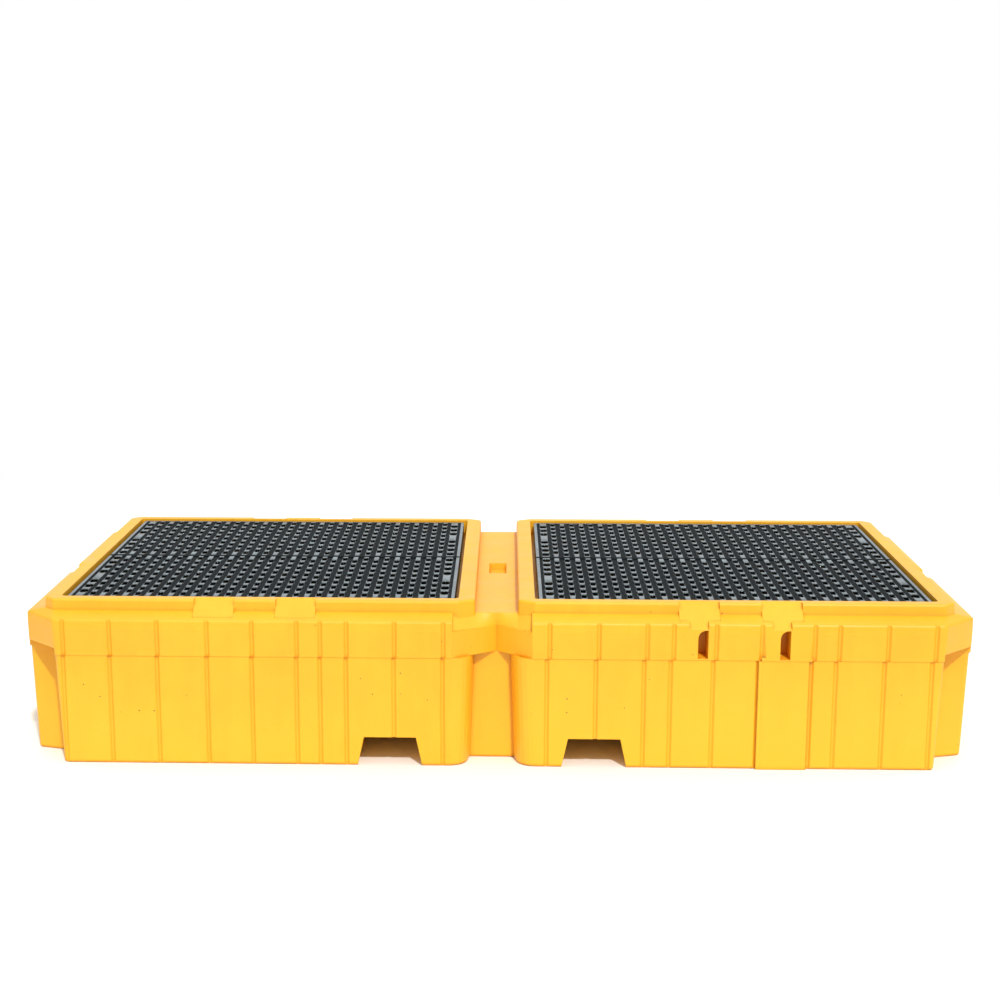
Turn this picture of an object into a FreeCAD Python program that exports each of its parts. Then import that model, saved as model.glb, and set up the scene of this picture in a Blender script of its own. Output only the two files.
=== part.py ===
import FreeCAD, Part
import math
import os
from FreeCAD import Vector

# Two-bay spill containment pallet for bulk liquid totes. Millimetres, +Z up.
# Origin: on the floor, under the centre of the pallet. +X runs along the length, the front faces -Y.

# ---- overall size -------------------------------------------------------------------------------
LENGTH = 3140.0              # over the two end shoulders
WIDTH = 1584.0               # over the front and back bands
HEIGHT = 552.0               # floor to the top of the rims

# ---- the two bays and the valley between them ---------------------------------------------------
VALLEY_WIDTH = 140.0         # clear width between the two inner rims
INNER_RIM = 56.0             # width of the rim beside the valley
BAY_LENGTH = 1321.0          # opening of one bay along X
BAY_WIDTH = 1380.0           # opening of one bay along Y
VALLEY_Z = 505.0             # valley floor
SEAT_Z = 495.0               # ledge that the grates rest on
SEAT_LIP = 42.0              # how far that ledge reaches in from the bay wall

# ---- heights of the outside profile -------------------------------------------------------------
PARTING_Z = 372.0            # where the upper band starts
SPOUT_Z = 463.0              # top of the band at the centre, under the valley's ends
BAND_TOP_Z = 494.0           # outer edge of the shoulder
RIM_FOOT_Z = 515.0           # where the shoulder meets the rim's upright face
CORNER_UNDER_Z = 396.0       # underside of the band over the four corner recesses

# ---- plan sizes ---------------------------------------------------------------------------------
RIM_WIDTH = 45.0             # front and back rims
END_RIM_WIDTH = 53.0         # rims at the two ends
RIM_CORNER = 34.0            # chamfer on the rims' outer corners
BAND_DRAFT = 8.0             # how far the band draws in from its top to the parting line
BAND_END_DRAFT = 2.0         # and how far it does at the two ends
PARTING_STEP = 1.5           # small ledge at the parting line
BAND_CORNER = 24.0           # upright corners of the band
BAND_EDGE = 11.0             # its top edge
RIM_SOFT = 14.0              # upright corners of the rims
BAY_CORNER = 14.0            # upright corners of the bays
SUMP_CORNER = 40.0           # upright corners of the hole inside the seat
RIM_EDGE = 9.0               # their top edge
RIM_DRAFT = 2.0              # how far they draw in towards the top
LOWER_CORNER = 14.0          # upright corners of the lower body
FOOT_ROUND = 10.0            # its bottom edge
CORNER_FLATS = 5             # flats that make up each rounded corner
LOWER_DRAFT = 16.0           # how far the lower body draws in from the parting line to the floor
LOWER_END_DRAFT = 4.0        # and how far it does at the two ends
CHAMFER_X = 116.0            # corner chamfer of the band, along X
CHAMFER_Y = 124.0            # corner chamfer of the band, along Y
END_NOTCH_HALF = 85.0        # recess in the middle of each end band
END_NOTCH_DEPTH = 26.0
NOTCH_HALF = 130.0           # V notch at the centre of the front and back bands
NOTCH_DEPTH = 102.0
SPOUT_LEDGE = 12.0           # ledge along that notch, under the slopes beside the valley's end
CENTRE_PANEL_HALF = 60.0     # upright panel behind that notch
CENTRE_RETURN = 15.0         # slant of the returns beside the panel
CENTRE_ROUND = 62.0          # big round where the returns meet the front wall
CENTRE_PANEL_SETBACK = 8.0   # how far the panel's top lies behind the notch's apex
CENTRE_SHIFT = -14.0         # notch, panel and fork tunnels sit this far off the middle
RECESS_FRONT = 130.0         # corner recess of the lower body, back from the front wall
RECESS_END = 168.0           # and where it comes out at the foot of the end wall
RECESS_LEAN = 40.0           # at the parting line it comes out this much nearer the front
END_LEDGE = 2.0              # ledge at the parting line of the end walls

# ---- skin ---------------------------------------------------------------------------------------
SKIN = 12.0                  # wall behind the raised panels
THIN_SKIN = 8.0              # seats, tunnels and rims

# ---- moulded grooves between the panels ---------------------------------------------------------
GROOVE_MOUTH = 17.0
GROOVE_BED = 7.0
GROOVE_DEPTH = 5.0
GROOVE_END = 0.5             # land left beside the parting line
GROOVE_DRAW = 3.0            # the lower grooves sit this far nearer the middle than the upper ones
GROOVE_SHIFT = -6.0          # and this far off it, all together
SHARED_GROOVES = (174.0, 334.0, 491.0, 577.0, 1113.0, 1270.0, 1424.0)
LEFT_GROOVES = (654.0, 801.0, 949.0)
RIGHT_GROOVES = (715.0, 862.0, 1033.0)
END_GROOVES = (165.0, 322.0, 479.0)
PROUD_PANEL = 6.0            # how far one panel of the right-hand front wall stands out
PROUD_SLOPE = 8.0            # slant of its far side

# ---- fork pockets -------------------------------------------------------------------------------
FORK_X = 337.0               # of each tunnel's centre, before CENTRE_SHIFT
FORK_WIDTH_LOW = 214.0
FORK_WIDTH_HIGH = 172.0
FORK_HEIGHT = 98.0

# ---- chutes in the rims, and the shelf niches below two of them ---------------------------------
CHUTE_CENTRES = (661.5, 931.5)
CHUTE_WIDTH = 133.0
CHUTE_TOP_Y = 706.0          # where the slope leaves the rim's top
CHUTE_FOOT_Y = 772.0         # where it meets the shoulder
SCOOP_CENTRES = (657.5, 925.5)
SCOOP_WIDTH = 62.0           # above a niche, this much of the slope runs on to the band's face
NICHE_CENTRES = (671.5, 937.5)
NICHE_WIDTH = 33.0
NICHE_DEPTH = 92.0
NICHE_HEIGHT = 97.0
NICHE_ROUND = 27.0           # its one rounded corner, at the top beside the valley
NICHE_SILL = 5.0             # its floor lies this far above the parting line

# ---- tray in the middle of the valley -----------------------------------------------------------
TRAY_HALF_X = 27.5
TRAY_HALF_Y = 83.0
TRAY_SLOPE = 4.0             # width of its sloping border
TRAY_DEPTH = 25.0

# ---- grates -------------------------------------------------------------------------------------
GRATE_GAP = 14.0             # round the outside of each pair
GRATE_SPLIT = 3.0            # between the two grates of a bay
GRATE_TOP_Z = 546.0
GRATE_PLATE = 12.0
GRATE_WALL = 9.0
GRATE_MARGIN = 17.0          # solid border beside the first slots
GRATE_CORNER = 8.0
GRATE_EDGE = 2.5
RIB_WIDTH = 8.0
SLOT_PITCH_X = 38.1
SLOT_PITCH_Y = 76.2
SLOT_WIDTH = 17.0
EDGE_SLOT_WIDTH = 26.0       # in the first and the last column
SLOT_LENGTH = 51.0
RIB_EVERY = 3                # one deep rib for so many columns of slots
POST_EVERY = 3               # one column of posts for so many ribs
PAD_LENGTH = 70.0            # solid pad halfway along each side border

# ---- support posts ------------------------------------------------------------------------------
POST_RADIUS = 57.0
POST_WALL = 7.0
POST_FLANGE_RADIUS = 68.0
POST_FLANGE = 12.0           # thickness of the flange at its head
POST_FOOT = 18.0             # height of the cone at its foot
POST_PLAY = 2.0              # between a post's bore and the boss that it stands over
BOSS_HEIGHT = 22.0
BOSS_TAPER = 4.0
POST_ROWS = (172.0, 511.0)   # distance of the two rows from the middle of the bay

# ---- worked out from the above ------------------------------------------------------------------
HALF_LENGTH = LENGTH / 2
HALF_WIDTH = WIDTH / 2
BAY_X0 = VALLEY_WIDTH / 2 + INNER_RIM
BAY_X1 = BAY_X0 + BAY_LENGTH
BAY_Y = BAY_WIDTH / 2
RIM_Y = BAY_Y + RIM_WIDTH
RIM_X = BAY_X1 + END_RIM_WIDTH
CHAMFER_START_X = HALF_LENGTH - CHAMFER_X
LOWER_Y = HALF_WIDTH - BAND_DRAFT - PARTING_STEP
LOWER_X = HALF_LENGTH - BAND_END_DRAFT - END_LEDGE
PANEL_Y = HALF_WIDTH - NOTCH_DEPTH - CENTRE_PANEL_SETBACK
CHUTE_RISE = (HEIGHT - BAND_TOP_Z) / (CHUTE_FOOT_Y - CHUTE_TOP_Y)
OFF_CENTRE = (NOTCH_HALF, CENTRE_PANEL_HALF, CENTRE_PANEL_HALF + CENTRE_RETURN)
FAR = 60.0                   # how far cutting tools run past the faces that they cut
BITE = 1.0                   # overlap between solids that are joined
NEAR = 3.0                   # an edge this close to a corner belongs to it
SHORT_EDGE = 20.0            # upright edges shorter than this aren't rounded
LEVEL = 0.01                 # height difference that still counts as level
UPRIGHT = 0.99               # Z part of a direction that counts as upright
FLAT = 1e-6                  # distance from a plane that still counts as flat
TINY = 1e-9                  # area that counts as none


# ---- small geometry helpers ---------------------------------------------------------------------
def ring(points, z):
    return [Vector(x, y, z) for x, y in points]


def flat_or_ruled(corners):
    """The face through four corners: planar, or ruled from the first side to the third if it's twisted."""
    a, b, c, d = corners
    normal = (b - a).cross(c - a)
    if normal.Length < TINY:
        normal = (c - a).cross(d - a)
    if abs(normal.dot(d - a)) < FLAT * normal.Length:
        return Part.Face(Part.makePolygon([a, b, c, d, a]))
    return Part.makeRuledSurface(Part.makeLine(a, b), Part.makeLine(d, c))


def stack(levels):
    """Solid skinned over a pile of plan outlines, each given as (outline, z), with equal corner counts."""
    rings = [ring(outline, z) for outline, z in levels]
    count = len(rings[0])
    faces = [Part.Face(Part.makePolygon(end + end[:1])) for end in (rings[0], rings[-1])]
    for low, high in zip(rings, rings[1:]):
        for i in range(count):
            j = (i + 1) % count
            faces.append(flat_or_ruled([low[i], low[j], high[j], high[i]]))
    shell = Part.Shell(faces)
    shell.sewShape()
    solid = Part.Solid(shell)
    if solid.Volume < 0:
        solid.reverse()
    return solid.removeSplitter()


def block(low, z_low, high, z_high):
    return stack([(low, z_low), (high, z_high)])


def corner_arc(before, corner, after, radius):
    """Points of the arc that rounds one corner of an outline, CORNER_FLATS flats long."""
    ux, uy = before[0] - corner[0], before[1] - corner[1]
    vx, vy = after[0] - corner[0], after[1] - corner[1]
    lu, lv = math.hypot(ux, uy), math.hypot(vx, vy)
    ux, uy, vx, vy = ux / lu, uy / lu, vx / lv, vy / lv
    half = math.acos(max(-1.0, min(1.0, ux * vx + uy * vy))) / 2
    reach = radius / math.sin(half)
    mx, my = ux + vx, uy + vy
    lm = math.hypot(mx, my)
    centre = (corner[0] + mx / lm * reach, corner[1] + my / lm * reach)
    run = radius / math.tan(half)
    start = math.atan2(corner[1] + uy * run - centre[1], corner[0] + ux * run - centre[0])
    end = math.atan2(corner[1] + vy * run - centre[1], corner[0] + vx * run - centre[0])
    turn = (end - start + math.pi) % (2 * math.pi) - math.pi
    angles = [start + turn * i / CORNER_FLATS for i in range(CORNER_FLATS + 1)]
    return [(centre[0] + radius * math.cos(a), centre[1] + radius * math.sin(a)) for a in angles]


def soften(corners):
    """Turns an outline of (x, y, radius) corners into plan points, with its corners rounded."""
    points = []
    count = len(corners)
    for i in range(count):
        x, y, radius = corners[i]
        if radius == 0:
            points.append((x, y))
        else:
            points += corner_arc(corners[i - 1][:2], (x, y), corners[(i + 1) % count][:2], radius)
    return points


def between(first, second, share):
    """The outline that lies a share of the way from the first to the second."""
    return [(x0 + (x1 - x0) * share, y0 + (y1 - y0) * share) for (x0, y0), (x1, y1) in zip(first, second)]


def inset(corners, distance):
    """Moves every side of an anticlockwise outline of (x, y, radius) corners inwards by one distance."""
    count = len(corners)
    moved = []
    for i in range(count):
        (x0, y0, _), (x1, y1, radius), (x2, y2, _) = corners[i - 1], corners[i], corners[(i + 1) % count]
        ax, ay = x1 - x0, y1 - y0
        bx, by = x2 - x1, y2 - y1
        la, lb = math.hypot(ax, ay), math.hypot(bx, by)
        nax, nay = -ay / la, ax / la
        nbx, nby = -by / lb, bx / lb
        spread = 1 + nax * nbx + nay * nby
        moved.append((x1 + distance * (nax + nbx) / spread, y1 + distance * (nay + nby) / spread, radius))
    return moved


def backwards(corners, axis):
    """The mirror image of a run of corners across a centre line, without the corners on that line."""
    return [tuple(-v if i == axis else v for i, v in enumerate(c)) for c in reversed(corners) if c[axis] != 0]


def off_centre(corners):
    """Moves the ends of the V notch and the sides of the panel below it sideways."""
    return [(x + CENTRE_SHIFT if abs(x) in OFF_CENTRE else x, y, radius) for x, y, radius in corners]


def around_bay(quarter, side):
    """Repeats a front right quarter into the outline of one bay, anticlockwise. The right bay's side is 1."""
    right = quarter + backwards(quarter, 1)
    return off_centre(right if side > 0 else backwards(right, 0))


def all_round(quarter):
    """Repeats a front right quarter into the whole outline, anticlockwise.

    The quarter runs from the centre line at the front to the centre line at the end."""
    right = quarter + backwards(quarter, 1)
    return off_centre(right + backwards(right, 0))


def box(x0, x1, y0, y1, z0, z1):
    return Part.makeBox(x1 - x0, y1 - y0, z1 - z0, Vector(x0, y0, z0))


def mirrored_x(shape):
    return shape.mirror(Vector(0, 0, 0), Vector(1, 0, 0))


def mirrored_y(shape):
    return shape.mirror(Vector(0, 0, 0), Vector(0, 1, 0))


def extrude_along_x(profile, x0, x1):
    """profile is a list of (y, z) corners."""
    face = Part.Face(Part.makePolygon([Vector(x0, y, z) for y, z in profile + profile[:1]]))
    return face.extrude(Vector(x1 - x0, 0, 0))


def extrude_along_y(profile, y0, y1):
    """profile is a list of (x, z) corners."""
    face = Part.Face(Part.makePolygon([Vector(x, y0, z) for x, z in profile + profile[:1]]))
    return face.extrude(Vector(0, y1 - y0, 0))


def rounded(shape, radius, wanted):
    """Rounds the edges for which wanted(edge) is true."""
    return shape.makeFillet(radius, [edge for edge in shape.Edges if wanted(edge)])


def upright_near(corners):
    """Picks the upright edges that pass close to the given plan corners, in all four quarters."""
    def wanted(edge):
        if len(edge.Vertexes) != 2:
            return False
        a, b = [v.Point for v in edge.Vertexes]
        if abs(a.z - b.z) < SHORT_EDGE:
            return False
        top = a if a.z > b.z else b
        return any(math.hypot(abs(top.x) - x, abs(top.y) - y) < NEAR for x, y in corners)
    return wanted


def level_edges(z, keep=lambda edge: True):
    """Picks the edges that lie flat at one height."""
    def wanted(edge):
        bounds = edge.BoundBox
        return abs(bounds.ZMin - z) < LEVEL and abs(bounds.ZMax - z) < LEVEL and keep(edge)
    return wanted


# ---- plan outlines of the tub: front right quarter, as (x, y, corner radius) ---------------------
def band_quarter(end_x=HALF_LENGTH):
    inner_x = end_x - END_NOTCH_DEPTH
    return [
        (0.0, -(HALF_WIDTH - NOTCH_DEPTH), 0),
        (NOTCH_HALF, -HALF_WIDTH, 0),
        (CHAMFER_START_X, -HALF_WIDTH, BAND_CORNER),
        (end_x, -(HALF_WIDTH - CHAMFER_Y), BAND_CORNER),
        (end_x, -END_NOTCH_HALF, 0),
        (inner_x, -(END_NOTCH_HALF - END_NOTCH_DEPTH), 0),
        (inner_x, 0.0, 0),
    ]


def rim_foot_quarter():
    """The foot of the rims, with one corner for each corner of the band outside the V notch."""
    return [
        (NOTCH_HALF, -RIM_Y, 0),
        (RIM_X - RIM_CORNER, -RIM_Y, RIM_SOFT),
        (RIM_X, -(RIM_Y - RIM_CORNER), RIM_SOFT),
        (RIM_X, -END_NOTCH_HALF, 0),
        (RIM_X, -(END_NOTCH_HALF - END_NOTCH_DEPTH), 0),
        (RIM_X, 0.0, 0),
    ]


def rim_quarter():
    return [
        (VALLEY_WIDTH / 2, -(RIM_Y - RIM_CORNER), RIM_SOFT),
        (BAY_X0, -RIM_Y, RIM_SOFT),
        (RIM_X - RIM_CORNER, -RIM_Y, RIM_SOFT),
        (RIM_X, -(RIM_Y - RIM_CORNER), RIM_SOFT),
    ]


def lower_quarter(end_x=LOWER_X, lean=RECESS_LEAN):
    """The lower body at the parting line."""
    return [
        (0.0, -PANEL_Y, 0),
        (CENTRE_PANEL_HALF, -PANEL_Y, 0),
        (CENTRE_PANEL_HALF + CENTRE_RETURN, -LOWER_Y, CENTRE_ROUND),
        (CHAMFER_START_X, -LOWER_Y, LOWER_CORNER),
        (CHAMFER_START_X, -(LOWER_Y - RECESS_FRONT), 0),
        (end_x, -(LOWER_Y - RECESS_END + lean), LOWER_CORNER),
        (end_x, 0.0, 0),
    ]


# ---- the tub ------------------------------------------------------------------------------------
def lower_outline(z, drawn_in):
    """The lower body at one height. Its ends lean less than its front and back do."""
    share = z / PARTING_Z
    end_x = LOWER_X + (LOWER_DRAFT - LOWER_END_DRAFT) * (1 - share)
    return soften(inset(all_round(lower_quarter(end_x, RECESS_LEAN * share)), drawn_in))


def lower_body():
    """Lower body, drawn in towards the floor, with a rounded bottom edge."""
    wall_top, wall_foot = (0.0, PARTING_Z), (LOWER_DRAFT, 0.0)
    profile = [wall_top] + corner_arc(wall_top, wall_foot, (LOWER_DRAFT + FAR, 0.0), FOOT_ROUND)
    return stack([(lower_outline(z, drawn_in), z) for drawn_in, z in reversed(profile)])


def lower_space():
    """The space inside the lower body."""
    return block(lower_outline(0.0, SKIN + LOWER_DRAFT), SKIN, lower_outline(PARTING_Z, SKIN), PARTING_Z)


def band(skin):
    foot_end_x = HALF_LENGTH + BAND_DRAFT - BAND_END_DRAFT
    foot = inset(all_round(band_quarter(foot_end_x)), skin + BAND_DRAFT)
    top = inset(all_round(band_quarter()), skin)
    return block(soften(foot), PARTING_Z, soften(top), SPOUT_Z)


def shoulder(skin, side):
    """One bay's band above the spout, its rounded edge, and the slope up to the foot of the rim."""
    outer = soften(inset(around_bay(band_quarter()[1:], side), skin))
    foot = soften(inset(around_bay(rim_foot_quarter(), side), skin))
    reach = HALF_WIDTH - RIM_Y
    profile = corner_arc((0.0, SPOUT_Z), (0.0, BAND_TOP_Z), (reach, RIM_FOOT_Z), BAND_EDGE)
    profile.append((reach, RIM_FOOT_Z))
    levels = [(outer, SPOUT_Z)]
    levels += [(between(outer, foot, out / reach), z - skin) for out, z in profile]
    return stack(levels)


def rim(skin, side):
    foot = inset(around_bay(rim_quarter(), side), skin)
    return block(soften(foot), SPOUT_Z, soften(inset(foot, RIM_DRAFT)), HEIGHT - skin)


def centre_block(skin):
    """The valley's bed, and the spout that falls from each of its straight ends to the V notch.

    The spout twists from upright in the middle to sloping at its sides."""
    half = VALLEY_WIDTH / 2
    edge_y = -(HALF_WIDTH - NOTCH_DEPTH - skin)
    notch_y = -(HALF_WIDTH - SPOUT_LEDGE - skin)
    side_y = edge_y + (notch_y - edge_y) * half / NOTCH_HALF
    low = all_round([(0.0, edge_y, 0), (half, side_y, 0), (NOTCH_HALF, notch_y, 0)])
    high = all_round([(0.0, edge_y, 0), (half, edge_y, 0), (NOTCH_HALF, -(RIM_Y - skin), 0)])
    return block(soften(low), SPOUT_Z, soften(high), VALLEY_Z - skin)


def valley_tray(skin):
    """Tray in the middle of the valley, with a sloping border."""
    bed = all_round([(TRAY_HALF_X + skin, -(TRAY_HALF_Y + skin), 0)])
    return block(soften(bed), VALLEY_Z - TRAY_DEPTH - skin, soften(inset(bed, -TRAY_SLOPE)), VALLEY_Z)


def bay_recess(skin):
    """The space that the grates drop into. With a skin it is the space that its walls fill."""
    space = box(BAY_X0 - skin, BAY_X1 + skin, -BAY_Y - skin, BAY_Y + skin, SEAT_Z - skin, HEIGHT + FAR)
    if skin:
        return space
    return rounded(space, BAY_CORNER, upright_near([(BAY_X0, BAY_Y), (BAY_X1, BAY_Y)]))


def sump_opening():
    """The hole cut through the seat, which leaves the lip that the grates rest on."""
    x0, x1, y = BAY_X0 + SEAT_LIP, BAY_X1 - SEAT_LIP, BAY_Y - SEAT_LIP
    hole = box(x0, x1, -y, y, SEAT_Z - FAR, SEAT_Z + FAR)
    return rounded(hole, SUMP_CORNER, upright_near([(x0, y), (x1, y)]))


def fork_tunnels(skin):
    low = FORK_WIDTH_LOW / 2 + skin
    high = FORK_WIDTH_HIGH / 2 + skin
    roof_z = FORK_HEIGHT + skin
    tunnels = []
    for x in (CENTRE_SHIFT - FORK_X, CENTRE_SHIFT + FORK_X):
        profile = [(x - low, -FAR), (x + low, -FAR), (x + low, 0.0), (x + high, roof_z), (x - high, roof_z),
                   (x - low, 0.0)]
        tunnels.append(extrude_along_y(profile, -HALF_WIDTH - FAR, HALF_WIDTH + FAR))
    return tunnels


def slope_cut(centre, width, foot_y, skin):
    """Takes away what stands above the chute's slope, out to y = -foot_y."""
    drop = skin * math.hypot(1, CHUTE_RISE)
    high = HEIGHT + FAR * CHUTE_RISE
    foot_z = HEIGHT - (foot_y - CHUTE_TOP_Y) * CHUTE_RISE
    profile = [(-(CHUTE_TOP_Y - FAR), high - drop), (-foot_y, foot_z - drop), (-foot_y, high)]
    half = width / 2 + skin
    return extrude_along_x(profile, centre - half, centre + half)


def chutes(skin):
    return [slope_cut(centre, CHUTE_WIDTH, CHUTE_FOOT_Y, skin) for centre in CHUTE_CENTRES]


def scoops(skin):
    """Above each niche the chute's slope runs on through the shoulder to the band's face."""
    return [slope_cut(centre, SCOOP_WIDTH, HALF_WIDTH + FAR, skin) for centre in SCOOP_CENTRES]


def chute_fill(centre):
    """Fills the corner between the shoulder and the rim below the chute's slope."""
    foot_y = -(CHUTE_FOOT_Y - PARTING_STEP)
    foot_z = BAND_TOP_Z - SKIN
    profile = [(-CHUTE_TOP_Y, HEIGHT), (-CHUTE_FOOT_Y, BAND_TOP_Z), (foot_y, foot_z), (-CHUTE_TOP_Y, foot_z)]
    return extrude_along_x(profile, centre - CHUTE_WIDTH / 2, centre + CHUTE_WIDTH / 2)


def niches(skin):
    """Deep slots in the band for the hooks of a shelf, each with one rounded upper corner."""
    slots = []
    for centre in NICHE_CENTRES:
        left, right = centre - NICHE_WIDTH / 2 - skin, centre + NICHE_WIDTH / 2 + skin
        floor_z = PARTING_Z + NICHE_SILL - skin
        roof_z = PARTING_Z + NICHE_SILL + NICHE_HEIGHT + skin
        profile = [(right, roof_z), (right, floor_z), (left, floor_z)]
        profile += corner_arc((left, floor_z), (left, roof_z), (right, roof_z), NICHE_ROUND + skin)
        slots.append(extrude_along_y(profile, -(HALF_WIDTH + FAR), -(HALF_WIDTH - NICHE_DEPTH - skin)))
    return slots


def corner_recess(skin):
    """Carries the lower body's corner recess a little way up into the band."""
    x = CHAMFER_START_X - skin
    y = -(LOWER_Y - RECESS_FRONT - skin)
    end_y = -(LOWER_Y - RECESS_END + RECESS_LEAN - skin)
    far_x, far_y = HALF_LENGTH + FAR, -(HALF_WIDTH + FAR)
    outline = [(x, far_y), (far_x, far_y), (far_x, end_y), (LOWER_X, end_y), (x, y)]
    return block(outline, PARTING_Z - BITE - skin, outline, CORNER_UNDER_Z + skin)


def groove(x, face_low, z_low, face_high, z_high):
    """Upright groove in the front wall, whose face stands at y = -face_low and y = -face_high."""
    def outline(face):
        bed = GROOVE_BED / 2
        mouth = GROOVE_MOUTH - bed
        outside_y = -(face + GROOVE_DEPTH)
        bed_y = -(face - GROOVE_DEPTH)
        return [(x - mouth, outside_y), (x + mouth, outside_y), (x + bed, bed_y), (x - bed, bed_y)]
    return block(outline(face_low), z_low, outline(face_high), z_high)


def wall_grooves(positions, side):
    """Grooves of one bay's front wall: side is +1 for the right bay and -1 for the left one."""
    cutters = []
    for x in positions:
        low_x = side * (x - GROOVE_DRAW) + GROOVE_SHIFT
        high_x = side * x
        cutters.append(groove(low_x, LOWER_Y - LOWER_DRAFT, 0.0, LOWER_Y, PARTING_Z - GROOVE_END))
        cutters.append(groove(high_x, HALF_WIDTH - BAND_DRAFT, PARTING_Z + GROOVE_END, HALF_WIDTH, SPOUT_Z))
        cutters.append(groove(high_x, HALF_WIDTH, SPOUT_Z - BITE, HALF_WIDTH, BAND_TOP_Z + GROOVE_DEPTH))
    return cutters


def end_grooves():
    """Grooves of the right-hand end wall, made as front-wall grooves and turned a quarter turn."""
    cutters = []
    for y in END_GROOVES:
        for place in (y, -y):
            cutters.append(groove(place, LOWER_X - LOWER_END_DRAFT, 0.0, LOWER_X, PARTING_Z - GROOVE_END))
    for cutter in cutters:
        cutter.rotate(Vector(0, 0, 0), Vector(0, 0, 1), 90)
    return cutters


def proud_panel():
    """The one panel of the right-hand front wall that stands further out than its neighbours."""
    def outline(face, out, shift):
        x0, x1 = [x + shift for x in RIGHT_GROOVES[1:]]
        front_y, back_y = -(face + out), -(face - BITE)
        return [(x0, front_y), (x1 - PROUD_SLOPE, front_y), (x1, back_y), (x0, back_y)]
    low_shift = GROOVE_SHIFT - GROOVE_DRAW
    lower = block(outline(LOWER_Y - LOWER_DRAFT, PROUD_PANEL, low_shift), 0.0,
                  outline(LOWER_Y, PROUD_PANEL, low_shift), PARTING_Z)
    upper = block(outline(HALF_WIDTH - BAND_DRAFT, PROUD_PANEL, 0.0), PARTING_Z,
                  outline(HALF_WIDTH, 0.0, 0.0), SPOUT_Z)
    return [lower, upper]


def post_places():
    """Plan place of the six posts under each of a bay's two grates, right bay: {(row, column): (x, y)}."""
    columns = grate_rib_lines()[1:-1:POST_EVERY]
    places = {}
    for row_name, sign in (("front", -1), ("back", 1)):
        for i, row in enumerate(POST_ROWS):
            for j, x in enumerate(columns):
                places[(row_name, i * len(columns) + j + 1)] = (x, sign * row)
    return places


def floor_height(x):
    """Height of the sump floor under a post: the fork tunnels make a raised bed."""
    over_tunnel = abs(x - FORK_X) < FORK_WIDTH_HIGH / 2 - abs(CENTRE_SHIFT)
    return FORK_HEIGHT + THIN_SKIN if over_tunnel else SKIN


def post_boss(x, y):
    z = floor_height(x)
    radius = POST_RADIUS - POST_WALL - POST_PLAY
    return Part.makeCone(radius, radius - BOSS_TAPER, BOSS_HEIGHT + BITE, Vector(x, y, z - BITE))


def outer_body():
    body = lower_body().fuse([band(0.0), centre_block(0.0)])
    for side in (1, -1):
        body = body.fuse(shoulder(0.0, side).fuse(rim(0.0, side)).removeSplitter())
    return rounded(body.removeSplitter(), RIM_EDGE, level_edges(HEIGHT))


def in_both_bays(shapes):
    return shapes + [mirrored_x(shape) for shape in shapes]


def front_and_back(shapes):
    return shapes + [mirrored_y(shape) for shape in shapes]


def cavity():
    """The space between the tub's inside and outside: the tub is a single skin all over."""
    space = lower_space().fuse([band(SKIN), centre_block(SKIN)])
    for side in (1, -1):
        space = space.fuse([shoulder(SKIN, side), rim(THIN_SKIN + RIM_DRAFT, side)])
    walls = fork_tunnels(THIN_SKIN) + in_both_bays([bay_recess(THIN_SKIN)])
    walls += in_both_bays(front_and_back(chutes(THIN_SKIN) + [corner_recess(THIN_SKIN)]))
    walls += scoops(THIN_SKIN) + niches(THIN_SKIN)
    walls.append(valley_tray(THIN_SKIN))
    return space.cut(walls)


def sump_tub():
    body = outer_body().fuse(proud_panel())
    body = body.cut(in_both_bays(front_and_back(chutes(0.0))))
    body = body.fuse(in_both_bays(front_and_back([chute_fill(centre) for centre in CHUTE_CENTRES])))
    left = wall_grooves(SHARED_GROOVES + LEFT_GROOVES, -1)
    right = wall_grooves(SHARED_GROOVES + RIGHT_GROOVES, 1)
    back = [mirrored_y(cutter) for cutter in in_both_bays(left)]
    outside = left + right + back + in_both_bays(end_grooves())
    outside += in_both_bays(front_and_back([corner_recess(0.0)]))
    outside += scoops(0.0) + niches(0.0)
    body = body.cut(outside)
    inside = in_both_bays([bay_recess(0.0), sump_opening()])
    body = body.cut(inside + fork_tunnels(0.0) + [valley_tray(0.0)])
    body = body.cut(cavity())
    bosses = [post_boss(x, y) for x, y in post_places().values()]
    return body.fuse(in_both_bays(bosses)).removeSplitter()


# ---- grates -------------------------------------------------------------------------------------
def grate_size():
    length = BAY_LENGTH - 2 * GRATE_GAP
    width = BAY_Y - GRATE_GAP - GRATE_SPLIT / 2
    return length, width


def slot_columns():
    """X of each column of slots in the right bay, centred in the grate."""
    length, _ = grate_size()
    count = int((length - 2 * GRATE_MARGIN - EDGE_SLOT_WIDTH) / SLOT_PITCH_X) + 1
    middle = BAY_X0 + BAY_LENGTH / 2
    return [middle + (i - (count - 1) / 2) * SLOT_PITCH_X for i in range(count)]


def grate_rib_lines():
    """X of the deep ribs, which run in the webs between columns of slots."""
    columns = slot_columns()
    return [x + SLOT_PITCH_X / 2 for x in columns[1:-1:RIB_EVERY]]


def slot_wire(x, y, z, width):
    radius = width / 2
    straight = SLOT_LENGTH / 2 - radius
    low, high = Vector(x, y - straight, z), Vector(x, y + straight, z)
    left, right = Vector(-radius, 0, 0), Vector(radius, 0, 0)
    edges = [
        Part.LineSegment(low + right, high + right).toShape(),
        Part.Arc(high + right, high + Vector(0, radius, 0), high + left).toShape(),
        Part.LineSegment(high + left, low + left).toShape(),
        Part.Arc(low + left, low - Vector(0, radius, 0), low + right).toShape(),
    ]
    return Part.Wire(edges)


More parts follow.
